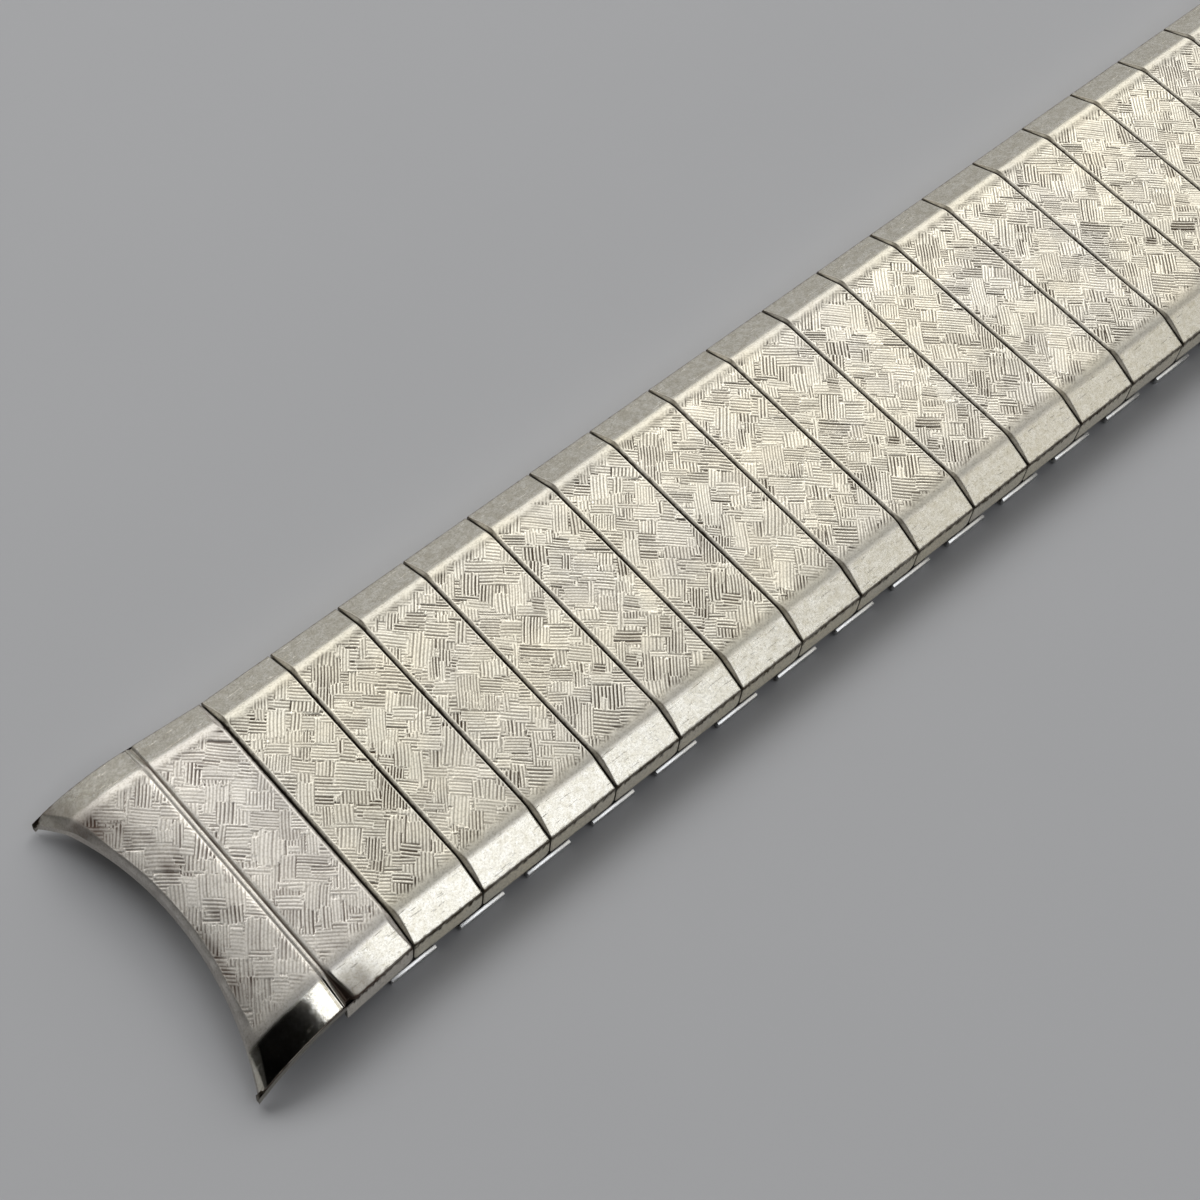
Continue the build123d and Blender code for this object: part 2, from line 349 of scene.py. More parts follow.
def engrave(x, y, strokes):
    """Depth of the engraving and how dark its grooves are, at points of the band's top."""
    depth, dirt = np.zeros_like(x), np.zeros_like(x)
    row_low, row_high, columns = x.min(axis=1), x.max(axis=1), y[0]
    for stroke in strokes:
        place_x, place_y = stroke["place"]
        half_breadth = stroke["count"] * stroke["pitch"] / 2
        radius = stroke["half_length"] + half_breadth
        rows = slice(np.searchsorted(row_high, place_x - radius), np.searchsorted(row_low, place_x + radius))
        band = slice(np.searchsorted(columns, place_y - radius), np.searchsorted(columns, place_y + radius))
        if rows.start >= rows.stop or band.start >= band.stop:
            continue
        dx, dy = x[rows, band] - place_x, y[rows, band] - place_y
        c, s = cos(stroke["angle"]), sin(stroke["angle"])
        along, across = dx * c + dy * s, dy * c - dx * s
        rng = np.random.default_rng(stroke["seed"])
        reach = rng.uniform(*LINE_REACH_SHARES, STROKE_LINES)
        shift = rng.uniform(-LINE_SHIFT, LINE_SHIFT, STROKE_LINES)
        force = rng.uniform(*LINE_FORCES, STROKE_LINES)
        deep = rng.uniform(0, 1, STROKE_LINES) < DEEP_LINE_SHARE
        sway = rng.uniform(0, 2 * pi)
        lean = rng.uniform(-STROKE_LEAN, STROKE_LEAN)
        tone = rng.uniform(0, 1)
        line = across / stroke["pitch"] + (stroke["count"] % 2) / 2 + 0.5
        line += LINE_SWAY * np.sin(LINE_SWAY_RATE * along + sway)
        k = np.floor(line).astype(int) % STROKE_LINES
        reach_here = stroke["half_length"] * reach[k]
        from_middle = np.abs(along - shift[k])
        inside = (from_middle < reach_here) & (np.abs(across) < half_breadth)
        profile = (0.5 - 0.5 * np.cos(2 * pi * line)) ** stroke["sharpness"]
        taper = np.clip((reach_here - from_middle) / LINE_TAPER, 0, 1)
        cut = stroke["strength"] * np.where(deep[k], DEEP_LINE_FORCE, force[k]) * profile * taper
        lowered = STROKE_DEPTH * cut + lean * across + STROKE_LIFT
        depth[rows, band] = np.where(inside, lowered, depth[rows, band])
        stain = np.where(deep[k], DEEP_LINE_FORCE, 0.52 + 0.75 * force[k]) * profile * taper
        mark = stain * (0.36 + 0.64 * stroke["strength"]) + 0.15 * tone ** 3
        dirt[rows, band] = np.where(inside, mark, dirt[rows, band])
    return depth, np.clip(dirt, 0, 1)


def even_marks(shape, grime_and_shade, polish):
    """Marks of a grid whose polish is even, and whose grime is even or given for each row."""
    marks = np.empty((*shape, 2))
    marks[:, :, 0] = np.reshape(grime_and_shade, (-1, 1))
    marks[:, :, 1] = polish
    return marks


class Skin:
    """Gathers grids of points into one mesh, each grid being smooth within itself."""

    def __init__(self):
        self.points, self.faces, self.marks, self.count = [], [], [], 0

    def grid(self, points, marks, flip=False):
        """Adds a grid of points, rows by columns by xyz, with marks for all points or one pair."""
        rows, columns = points.shape[:2]
        if isinstance(marks, tuple):
            marks = even_marks((rows, columns), *marks)
        index = self.count + np.arange(rows * columns).reshape(rows, columns)
        quads = np.stack([index[:-1, :-1], index[1:, :-1], index[1:, 1:], index[:-1, 1:]], axis=-1)
        quads = quads.reshape(-1, 4)
        if flip:
            quads = quads[:, ::-1]
        self.points.append(points.reshape(-1, 3))
        self.marks.append(marks.reshape(-1, 2))
        self.faces.append(quads)
        self.count += rows * columns

    def block(self, x_span, y_span, z_span, marks, cut):
        """Adds a small block with cut edges."""
        lows, highs = np.array([x_span, y_span, z_span]).T
        for axis in range(3):
            for side in (0, 1):
                u, v = (axis + 1) % 3, (axis + 2) % 3
                ring = np.zeros((4, 4, 3))
                outer = (lows[u], lows[u] + cut, highs[u] - cut, highs[u])
                inner = (lows[v], lows[v] + cut, highs[v] - cut, highs[v])
                for a in range(4):
                    for b in range(4):
                        ring[a, b, u], ring[a, b, v] = outer[a], inner[b]
                        rim = a in (0, 3) or b in (0, 3)
                        face = (lows[axis], highs[axis])[side]
                        ring[a, b, axis] = face + (cut if side == 0 else -cut) * rim
                self.grid(ring, marks, flip=side == 0)

    def make(self, name, place, material):
        """Turns the gathered grids into an object; place maps points to the frame."""
        faces = np.concatenate(self.faces)
        marks = np.concatenate(self.marks)
        placed = place(np.concatenate(self.points)) * MM
        mesh = bpy.data.meshes.new(name)
        mesh.vertices.add(len(placed))
        mesh.vertices.foreach_set("co", placed.astype(np.float32).ravel())
        mesh.loops.add(faces.size)
        mesh.loops.foreach_set("vertex_index", faces.astype(np.int32).ravel())
        mesh.polygons.add(len(faces))
        mesh.polygons.foreach_set("loop_start", np.arange(0, faces.size, 4, dtype=np.int32))
        mesh.update(calc_edges=True)
        mesh.validate()
        mesh.polygons.foreach_set("use_smooth", np.ones(len(mesh.polygons), dtype=bool))
        for layer, column in (("grime_and_shade", 0), ("polish", 1)):
            attribute = mesh.attributes.new(layer, "FLOAT", "POINT")
            attribute.data.foreach_set("value", marks[:, column].astype(np.float32))
        mesh.materials.append(material)
        piece = bpy.data.objects.new(name, mesh)
        bpy.context.scene.collection.objects.link(piece)
        return piece


def rounded(corners, radii, steps):
    """Polyline through corners, each turned into an arc of its radius."""
    line = [np.array(corners[0], float)]
    for before, corner, after, radius, count in zip(corners, corners[1:], corners[2:], radii, steps):
        before, corner, after = (np.array(v, float) for v in (before, corner, after))
        back, on = before - corner, after - corner
        back, on = back / np.linalg.norm(back), on / np.linalg.norm(on)
        half = np.arccos(np.clip(back @ on, -1, 1)) / 2
        reach = radius / tan(half)
        start, end = corner + back * reach, corner + on * reach
        middle = corner + (back + on) / np.linalg.norm(back + on) * radius / sin(half)
        for share in np.linspace(0, 1, count + 1):
            point = start * (1 - share) + end * share - middle
            line.append(middle + point / np.linalg.norm(point) * radius)
    line.append(np.array(corners[-1], float))
    return line


def divided(line, steps):
    """The polyline with every run over its step length cut into equal pieces."""
    result = [line[0]]
    for a, b, step in zip(line, line[1:], steps):
        count = max(1, round(np.linalg.norm(b - a) / step))
        result += [a + (b - a) * k / count for k in range(1, count + 1)]
    return np.array(result)


def crown_section():
    """Outer line (y, z) of a cap's crown between its two ridges, and its outward normals."""
    ridge_steps, shoulder_steps = 5, 13
    corners = [(HALF_WIDTH, RIDGE - RIDGE_BAND), (HALF_WIDTH, RIDGE), (SHOULDER, TOP), (0, TOP)]
    half = rounded(corners, (RIDGE_ROUND, SHOULDER_ROUND), (ridge_steps, shoulder_steps))[1:]
    half = divided(half, [0.2] * ridge_steps + [0.1] + [0.2] * shoulder_steps + [TOP_STEP])
    half = half[::-1]
    left = half[1:] * (-1, 1)
    section = np.concatenate([left[::-1], half])
    slope = np.gradient(section, axis=0)
    normal = np.stack([-slope[:, 1], slope[:, 0]], axis=1)
    return section, normal / np.linalg.norm(normal, axis=1)[:, None]


SECTION, NORMAL = crown_section()
RIDGE_START = float(SECTION[0, 1])

INNER_SHOULDER = SHOULDER - SHEET * tan(FLANK / 2)
INNER_SIDE = HALF_WIDTH - SHEET
INNER_RIDGE = RIDGE - SHEET * (1 - sin(FLANK)) / cos(FLANK)
INNER_SECTION = np.array([
    (-INNER_SIDE, LIP_FOOT), (-INNER_SIDE, INNER_RIDGE), (-INNER_SHOULDER, TOP - SHEET),
    (0, TOP - SHEET), (INNER_SHOULDER, TOP - SHEET), (INNER_SIDE, INNER_RIDGE), (INNER_SIDE, LIP_FOOT)])
STROKES = stamp_strokes(PATTERN_SEED, PATTERN_SPAN, PATTERN_HALF)


def bevel_width(y):
    """Width of the bevel on the edge of a crown that faces the start: widest below the shoulder."""
    return np.interp(np.abs(y), BEVEL_PLACES, BEVEL_WIDTHS)


def along_grid(start, end, roll_width, step):
    """Places along each line of the section: over the bevel, evenly, then over the rolled edge."""
    width = bevel_width(SECTION[:, 0])
    first = start + BEVEL_SHARES[:, None] * width[None, :]
    count = round((end - start) / step)
    shares = np.linspace(0, 1, count)[1:-1, None]
    middle = first[-1] + shares * (end - roll_width - first[-1])[None, :]
    last = end - roll_width * (ROLL_SHARES if roll_width else ROLL_SHARES[-1:])
    return np.concatenate([first, middle, np.repeat(last[:, None], len(width), axis=1)])


def bevel_drop(distance, y):
    """Drop over the bevel at a place across the band, its upper edge softened."""
    inside = bevel_width(y) - distance
    slope = BEVEL_SLOPE * (1 - 0.5 * smooth(np.abs(y), SHOULDER - 0.3, SHOULDER + 0.2))
    return slope * (inside + np.sqrt(inside ** 2 + BEVEL_SOFTNESS ** 2)) / 2


def roll(distance, radius):
    """Drop of a rolled edge at a distance from it."""
    d = np.clip(distance, 0, radius)
    return radius - np.sqrt(np.maximum(radius ** 2 - (radius - d) ** 2, 0))


def wear(x, y, seed, height):
    """Drop of a worn crown, which fades out towards the ridges."""
    return height * (1 + ripple(x, y, seed)) * smooth(np.abs(y), HALF_WIDTH, SHOULDER)


def lowered(x, drop):
    """Points of a crown at places x along the band, each pushed in by its drop."""
    across = SECTION[None, :, :] - NORMAL[None, :, :] * drop[:, :, None]
    return np.concatenate([x[:, :, None], across], axis=-1)


def engraved_area(y, seed, x):
    """Fades the engraving out unevenly just before the shoulders."""
    edge = ENGRAVED_HALF + 0.26 * ripple(x, y, seed, 0.8)
    return smooth(np.abs(y) - edge, 0.3, -0.28)


def crown_marks(x, y, dirt, low_distance, high_distance, seed):
    """Grime, painted shade and polish over a crown from its engraving and the distance to its ends; its rear
    edge is darkened as shade painted into the gap.
    """
    reach = np.abs(y)
    flank = smooth(reach, ENGRAVED_HALF - 0.2, SHOULDER + 0.35)
    shoulder = smooth(reach, SHOULDER - 0.75, SHOULDER - 0.15)
    shoulder *= smooth(reach, SHOULDER + 0.5, SHOULDER + 0.1)
    ragged = np.maximum(ripple(x, y, seed, 0.4), 0)
    ridge = smooth(reach, HALF_WIDTH - 0.08 - 0.12 * ragged, HALF_WIDTH - 0.02)
    past_bevel = low_distance - bevel_width(y)
    bevel = smooth(past_bevel, 0.03, -0.03)
    rim = (BEVEL_GRIME + FLANK_BEVEL_GRIME * flank) * bevel
    rim += FRONT_EDGE_GRIME * smooth(high_distance, 0.07, 0.0)
    rim += BEVEL_LINE_GRIME * hump(past_bevel, 0.04) * flank
    # painted shade: the rear edge darkened where it meets the gap to the next cap
    rim += REAR_EDGE_PAINTED_SHADE * smooth(low_distance, 0.07 + 0.09 * ragged, 0.03) * (1 - 0.6 * flank)
    grime_and_shade = np.clip(dirt + rim + RIDGE_GRIME * ridge + SHOULDER_GRIME * shoulder, 0, 1)
    polish = flank - (BEVEL_DULLING + FLANK_BEVEL_DULLING * flank) * bevel - SHOULDER_DULLING * shoulder
    return np.stack([grime_and_shade, polish], axis=-1)


def lip_strip(edge):
    """A lip's face: from an edge of the crown down to the level where it ends."""
    y = np.clip(edge[:, 1], -INNER_SIDE, INNER_SIDE)
    foot = np.stack([edge[:, 0], y, np.minimum(edge[:, 2], LIP_FOOT)], axis=-1)
    return np.stack([edge, edge * 0.5 + foot * 0.5, foot])


def lip_bottom(outer_x, inner_x):
    """The narrow face under a lip."""
    return np.array([[(x, -INNER_SIDE, LIP_FOOT), (x, INNER_SIDE, LIP_FOOT)] for x in (outer_x, inner_x)])


def corner_cut(z, radius):
    """How far a side wall's rounded lower corner is set back at a level."""
    rise = np.clip(z - FOOT, 0, radius)
    return radius - np.sqrt(np.maximum(radius ** 2 - (radius - rise) ** 2, 0))


def wall_grime(x, z, low, side, seed):
    """Grime of a side wall: ragged and broken under the ridge, faint at the foot and the rear end."""
    ragged = ripple(x, np.zeros_like(x), seed + 3 * side, 0.36) + ripple(x, z, seed + 7 * side, 0.17)
    depth = WALL_GRIME_DEPTH + WALL_GRIME_SWELL * np.maximum(ragged, 0)
    depth -= WALL_GRIME_EBB * np.maximum(-ragged, 0)
    edge = smooth(z, RIDGE_START - depth - 0.05, RIDGE_START - depth + 0.03)
    edge *= 0.45 + 0.55 * smooth(ripple(x, z, seed + 11 * side, 0.4), -0.3, 0.1)
    low_edge = smooth(z, FOOT + 0.2, FOOT) + smooth(x, low + 0.25, low) * 0.6
    return np.clip(edge + WALL_EDGE_GRIME * low_edge, 0, 1)


def wall_grids(skin, low, high, low_cut, high_cut, seed, warp=lambda points: points):
    """Both side walls between low and high: outer and inner faces, foot and two ends."""
    band_foot = RIDGE_START - RIDGE_BAND
    levels = np.concatenate([FOOT + CORNER_CUT * CORNER_SHARES,
                             np.linspace(FOOT + CORNER_CUT, band_foot, 6)[1:],
                             np.linspace(band_foot, RIDGE_START, 8)[1:]])
    shares = np.linspace(0, 1, round((high - low) / WALL_STEP))
    first = low + corner_cut(levels, low_cut) if low_cut else np.full(len(levels), low)
    last = high - corner_cut(levels, high_cut) if high_cut else np.full(len(levels), high)
    x = first[:, None] + (last - first)[:, None] * shares[None, :]
    z = np.repeat(levels[:, None], len(shares), axis=1)
    for side in (-1, 1):
        outer = np.stack([x, np.full_like(x, side * HALF_WIDTH), z], axis=-1)
        inner = np.stack([x, np.full_like(x, side * (HALF_WIDTH - SHEET)), z], axis=-1)
        marks = np.stack([wall_grime(x, z, low, side, seed), np.full_like(x, -WALL_DULLING)], axis=-1)
        skin.grid(warp(outer), marks, flip=side > 0)
        skin.grid(warp(inner), WALL_BACK, flip=side < 0)
        skin.grid(warp(np.stack([outer[0], inner[0]])), WALL_BACK, flip=side < 0)
        for column in (0, -1):
            ends = np.stack([outer[:, column], inner[:, column]])
            skin.grid(warp(ends), WALL_BACK, flip=(side > 0) == (column == 0))


def tabs(skin, middle, outer):
    """The two small tabs inside the side walls, which hold the sleeve."""
    for side in (-1, 1):
        spans = sorted((side * TAB_INNER, side * outer))
        skin.block((middle - TAB_HALF, middle + TAB_HALF), spans, (TAB_LOW, TAB_HIGH), TAB, TAB_CUT)


def cap_crown(number):
    """Points and marks of one cap's crown, engraved with its own part of the pattern."""
    gx = along_grid(-HALF_CAP, HALF_CAP, EDGE_ROLL, TOP_STEP)
    gy = np.repeat(SECTION[None, :, 0], len(gx), axis=0)
    low, high = gx + HALF_CAP, HALF_CAP - gx
    window = PATTERN_START + (number * PITCH) % (PATTERN_WINDOWS * PITCH)
    depth, dirt = engrave(gx + window, gy + PATTERN_SHIFT * sin(PATTERN_SHIFT_RATE * number), STROKES)
    near = smooth(low - bevel_width(gy), 0.0, 0.1) * smooth(high, 0.03, 0.12)
    near *= engraved_area(gy, AREA_SEED + number, gx)
    drop = bevel_drop(low, gy) + roll(high, EDGE_ROLL)
    drop += wear(gx, gy, CROWN_SEED + number, CAP_WEAR)
    return lowered(gx, drop + depth * near), crown_marks(gx, gy, dirt * near, low, high, MARK_SEED + number)


def cap_skin(number):
    """One stamped cap about its own middle: crown, two lips, hollow side, side walls and tabs."""
    skin = Skin()
    crown, marks = cap_crown(number)
    skin.grid(crown, marks)
    for column, at_end in ((0, False), (-1, True)):
        edge = crown[column]
        # the lip is darkened as painted shade in the gap between caps
        skin.grid(lip_strip(edge), (LIP_PAINTED_SHADE, INSIDE[1]), flip=not at_end)
        inner_x = edge[0, 0] + (-SHEET if at_end else SHEET)
        skin.grid(lip_bottom(edge[0, 0], inner_x), INSIDE, flip=at_end)
        upper = np.insert(INNER_SECTION, 0, inner_x, axis=1)
        lower = upper * (1, 1, 0) + (0, 0, LIP_FOOT)
        skin.grid(np.stack([upper, lower]), INSIDE, flip=at_end)
    inside = [np.insert(INNER_SECTION, 0, end, axis=1) for end in (-HALF_CAP + SHEET, HALF_CAP - SHEET)]
    skin.grid(np.stack(inside), INSIDE, flip=True)
    wall_grids(skin, -HALF_CAP, HALF_CAP, REAR_CUT, FRONT_CUT, WALL_SEED + number)
    tabs(skin, 0, HALF_WIDTH - SHEET / 2)
    return skin


def widened(y, run):
    """Widens the end cap towards the watch, its flanks keeping their width."""
    return y + np.sign(y) * np.minimum(np.abs(y) / SHOULDER, 1) * END_FLARE * run / TIP_RUN


def bend(points):
    """Widens the end cap's points and carries those past the groove round its bend."""
    x, z = points[..., 0], points[..., 2]
    y = widened(points[..., 1], x)
    past = np.maximum(x - GROOVE_PLACE, 0) / BEND_RADIUS
    arm = z - (TOP - BEND_RADIUS)
    bent_x = np.where(past > 0, GROOVE_PLACE + arm * np.sin(past), x)
    bent_z = np.where(past > 0, TOP - BEND_RADIUS + arm * np.cos(past), z)
    return np.stack([bent_x, y, bent_z], axis=-1)


def rim_run(y, z, radius):
    """Unbent distance at which a line of the end cap meets the upright case cylinder."""
    run = np.full(np.shape(y), END_LENGTH)
    arm = np.asarray(z) - (TOP - BEND_RADIUS)
    for _ in range(8):
        x = CASE_CENTRE - np.sqrt(radius ** 2 - widened(y, run) ** 2)
        run = GROOVE_PLACE + BEND_RADIUS * np.arcsin((x - GROOVE_PLACE) / arm)
    return run


def end_places():
    """Places on an end cap's crown, along and across, and how far each is from the hollow rim."""
    y, z = SECTION[:, 0], SECTION[:, 1]
    rear = along_grid(END_START, GROOVE_PLACE - GROOVE_BAND, 0, END_STEP)
    across_groove = np.linspace(GROOVE_PLACE - GROOVE_BAND, GROOVE_PLACE + GROOVE_BAND, GROOVE_ROWS)
    joint = np.repeat(across_groove[1:-1, None], len(y), axis=1)
    rim = rim_run(y, z, CASE_RADIUS)
    near_rim = 0.9 + 0.1 * np.linspace(0, 1, RIM_ROWS + 1)[1:]
    shares = np.concatenate([np.linspace(0, 0.9, FRONT_ROWS), near_rim])
    front = GROOVE_PLACE + GROOVE_BAND + shares[:, None] * (rim - GROOVE_PLACE - GROOVE_BAND)[None, :]
    gx = np.concatenate([rear, joint, front])
    return gx, np.repeat(y[None, :], len(gx), axis=0), rim[None, :] - gx


def groove_forms(x, y, side):
    """Drop and grime of the cross groove, deep and dirty at its +Y end, and its bead."""
    wedge = side * np.where(y > 0, 1.0, FAR_WEDGE_SHARE)
    groove = hump(x - GROOVE_PLACE + GROOVE_SHIFT + WEDGE_SHIFT * wedge, GROOVE_WIDTH + WEDGE_WIDTH * wedge)
    bead = hump(x - GROOVE_PLACE - BEAD_PLACE, BEAD_WIDTH)
    second = hump(x - GROOVE_PLACE - SECOND_PLACE, SECOND_WIDTH) * (1 - side)
    dip = smooth(np.abs(x - GROOVE_PLACE - DIP_PLACE), DIP_EDGE, DIP_FLOOR)
    drop = (GROOVE_DEPTH + WEDGE_DEPTH * side * np.where(y > 0, 1.0, FAR_DEPTH_SHARE)) * groove
    drop = drop + DIP_DEPTH * dip * (1 - bead) + SECOND_DEPTH * second
    grime_and_shade = groove * np.where(y > 0, GROOVE_GRIME, GROOVE_GRIME - FAR_GROOVE_LOSS * side)
    return drop, grime_and_shade + SECOND_GRIME * second + BEAD_GRIME * bead, bead


def end_tarnish(x, y, dirt, rolled, rim_distance, bevel, patches):
    """Brown tarnish of an end cap, in patches towards the hollow rim and darker on its -Y side."""
    off_rim = smooth(rolled, 0.1, 0.0)
    on_rim = smooth(rolled, 0.0, 0.25) * smooth(np.abs(y), 8.6, 7.4)
    tarnish = on_rim * (RIM_TARNISH + 0.3 * ripple(x, y, RIM_SEED, 0.9))
    tarnish += PATCH_TARNISH * patches * smooth(rim_distance, 4.5, 0.2) * off_rim
    before_rim = smooth(rim_distance - bevel, 1.2, 0.0) * off_rim
    tarnish += FRONT_TARNISH * before_rim * (0.6 + ripple(x, y, FRONT_SEED, 2.6))
    tarnish *= 0.7 + 0.8 * dirt
    corner = smooth(rim_distance, 3.2, 0.9) * smooth(y, -4.0, -6.6)
    return tarnish + CORNER_TARNISH * corner * (0.7 + 0.3 * ripple(x, y, CORNER_SEED, 1.1))


def end_crown(seed):
    """Points, before bending, and marks of an end cap's crown with its groove and rolled rim."""
    gx, gy, rim_distance = end_places()
    low = gx - END_START
    reach = np.abs(gy)
    side = smooth(reach, SHOULDER - 0.2, HALF_WIDTH)
    bevel = RIM_BEVEL + RIM_BEVEL_GAIN * smooth(reach, RIM_BEVEL_START, SHOULDER + 0.8)
    rolled = np.clip(1 - rim_distance / bevel, 0, 1)
    depth, dirt = engrave(gx + END_PATTERN_START, gy, stamp_strokes(seed, END_PATTERN_SPAN, PATTERN_HALF))
    worn = END_DEPTH_SHARE - FRONT_DEPTH_LOSS * smooth(gx, GROOVE_PLACE, GROOVE_PLACE + 3)
    near = smooth(low - bevel_width(gy), 0.0, 0.1) * smooth(rim_distance - bevel, -0.1, 0.1)
    near *= engraved_area(gy, seed, gx) * smooth(np.abs(gx - GROOVE_PLACE), 0.25, 0.4)
    depth, dirt = depth * near * worn, dirt * near * worn
    groove_drop, groove_grime, bead = groove_forms(gx, gy, side)
    drop = bevel_drop(low, gy) + groove_drop + RIM_DROP * rolled ** RIM_CURVE
    drop += wear(gx, gy, seed + 5, END_WEAR)

    marks = crown_marks(gx, gy, dirt, low, np.full_like(gx, END_LENGTH), seed)
    patches = np.maximum(ripple(gx, gy, PATCH_SEED, 1.6), 0)
    before_groove = smooth(gx, 1.2, GROOVE_PLACE - 0.3) * smooth(gx, GROOVE_PLACE, GROOVE_PLACE - 0.2)
    worn_patch = before_groove * side * ((0.4 + 0.5 * patches) * (gy > 0) + 0.1)
    tarnish = end_tarnish(gx, gy, dirt, rolled, rim_distance, bevel, patches)
    marks[:, :, 0] = np.clip(marks[:, :, 0] + groove_grime + tarnish + worn_patch, 0, 1)
    mirror_flank = smooth(gx, GROOVE_PLACE, GROOVE_PLACE + 0.3) * (gy > 0)
    marks[:, :, 1] = np.clip(marks[:, :, 1] * (1 + mirror_flank), -1, 2) - BEAD_DULLING * bead * (1 - side)
    return lowered(gx, drop + depth), marks


def end_lips(skin, crown):
    """The lip at an end cap's rear edge, and the face of its hollow rim; the lip and the strip under the rim
    carry painted shade, darker deeper in.
    """
    y, under_z = SECTION[:, 0], SECTION[:, 1] - END_LIP
    # the rear lip is darkened as painted shade, most at its foot
    skin.grid(lip_strip(crown[0]), (END_LIP_PAINTED_SHADE, 0.0), flip=True)
    outer_edge = bend(crown[-1])
    under = bend(np.stack([rim_run(y, under_z, CASE_RADIUS), y, under_z], axis=-1))
    skin.grid(np.stack([outer_edge, outer_edge * 0.5 + under * 0.5, under]), RIM_FACE)
    inner_y = np.clip(y, -INNER_SIDE, INNER_SIDE)
    back = bend(np.stack([rim_run(inner_y, under_z, CASE_RADIUS + SHEET), inner_y, under_z], axis=-1))
    # painted shade under the hollow rim, darkest at its back
    skin.grid(np.stack([under, back]), (END_LIP_PAINTED_SHADE[1:], 0.0))


def end_hollow(skin):
    """The hollow side of an end cap, with the backs of its rim and rear lip."""
    inner = divided(INNER_SECTION, [HOLLOW_STEP] * (len(INNER_SECTION) - 1))
    y, z = inner[:, 0], inner[:, 1]
    inner_rim = rim_run(y, z, CASE_RADIUS + SHEET)
    steps = np.linspace(0, 1, HOLLOW_ROWS)
    x = (END_START + SHEET) + steps[:, None] * (inner_rim - END_START - SHEET)[None, :]
    hollow = np.stack([x, np.broadcast_to(y, x.shape), np.broadcast_to(z, x.shape)], axis=-1)
    skin.grid(bend(hollow), HOLLOW, flip=True)
    lip_z = z - (END_LIP - 0.1)
    lip_end = np.stack([rim_run(y, lip_z, CASE_RADIUS + SHEET), y, lip_z], axis=-1)
    skin.grid(np.stack([bend(hollow[-1]), bend(lip_end)]), HOLLOW, flip=True)
    rear_lip = np.stack([np.full(len(y), END_START + SHEET), y, np.full(len(y), LIP_FOOT)], axis=-1)
    skin.grid(np.stack([hollow[0], rear_lip]), HOLLOW)
    skin.grid(bend(lip_bottom(END_START, END_START + SHEET)), INSIDE)


def low_walls(skin):
    """The low side walls of an end cap's bent segment."""
    shares = np.linspace(0, 1, LOW_WALL_COLUMNS)
    levels = np.linspace(RIDGE - END_LIP, RIDGE_START, 4)
    tip = rim_run(np.full(4, HALF_WIDTH), levels, CASE_RADIUS)
    x = GROOVE_PLACE + shares[None, :] * (tip - GROOVE_PLACE)[:, None]
    z = np.repeat(levels[:, None], LOW_WALL_COLUMNS, axis=1)
    for side in (-1, 1):
        outer = np.stack([x, np.full_like(x, side * HALF_WIDTH), z], axis=-1)
        inner = outer * (1, (HALF_WIDTH - SHEET) / HALF_WIDTH, 1)
        skin.grid(bend(outer), LOW_WALL, flip=side > 0)
        skin.grid(bend(inner), LOW_WALL, flip=side < 0)
        skin.grid(bend(np.stack([outer[0], inner[0]])), LOW_WALL, flip=side < 0)


def end_skin(seed):
    """One end cap, from the first boundary at zero to its two tips along +X."""
    skin = Skin()
    crown, marks = end_crown(seed)
    skin.grid(bend(crown), marks)
    end_lips(skin, crown)
    end_hollow(skin)
    wall_grids(skin, END_START, GROOVE_PLACE, FRONT_CUT, 0, seed, bend)
    low_walls(skin)
    tabs(skin, PITCH / 2, HALF_WIDTH - SHEET / 2 + END_TAB_REACH)
    return skin


def new_material(name):
    """A node material with its node tree and its shader."""
    material = bpy.data.materials.new(name)
    material.use_nodes = True
    tree = material.node_tree
    return material, tree, tree.nodes["Principled BSDF"]


def add(tree, kind, values=None, **settings):
    """A new node with its settings, and its sockets set or linked by name or number."""
    node = tree.nodes.new(kind)
    for key, value in settings.items():
        setattr(node, key, value)
    for key, value in (values or {}).items():
        fill(tree, node.inputs[key], value)
    return node


def fill(tree, socket, value):
    """Links a socket to another one, or sets it to a number or a colour."""
    if isinstance(value, bpy.types.NodeSocket):
        tree.links.new(value, socket)
    elif socket.type == "RGBA" and len(value) == 3:
        socket.default_value = (*value, 1)
    else:
        socket.default_value = value


def ramp(tree, value, stops):
    """A colour ramp over value with (place, grey or colour) stops."""
    node = add(tree, "ShaderNodeValToRGB", {0: value})
    while len(node.color_ramp.elements) < len(stops):
        node.color_ramp.elements.new(0.5)
    for element, (place, colour) in zip(node.color_ramp.elements, stops):
        element.position = place
        element.color = (*((colour,) * 3 if isinstance(colour, (int, float)) else colour), 1)
    return node.outputs[0]


def mix(tree, share, first, second, blend="MIX"):
    """Mixes two colours, each a socket or a colour, by a socket or number."""
    node = add(tree, "ShaderNodeMix", data_type="RGBA", blend_type=blend)
    for number, value in ((0, share), (6, first), (7, second)):
        fill(tree, node.inputs[number], value)
    return node.outputs[2]


def maths(tree, operation, first, second=0.0, third=0.0, clamp=False):
    """A number made of two or three, each a socket or a number."""
    return add(tree, "ShaderNodeMath", {0: first, 1: second, 2: third},
               operation=operation, use_clamp=clamp).outputs[0]


def noise(tree, vector, scale, detail=3.0, roughness=0.55):
    """Soft noise between 0 and 1 at a place."""
    return add(tree, "ShaderNodeTexNoise",
               {"Vector": vector, "Scale": scale, "Detail": detail, "Roughness": roughness}).outputs[0]


def bumped(tree, height, strength, normal=None):
    """A normal with the bump of a height, on top of another normal where one is given."""
    values = {"Strength": strength, "Distance": BUMP_DISTANCE, "Height": height}
    if normal:
        values["Normal"] = normal
    return add(tree, "ShaderNodeBump", values).outputs[0]


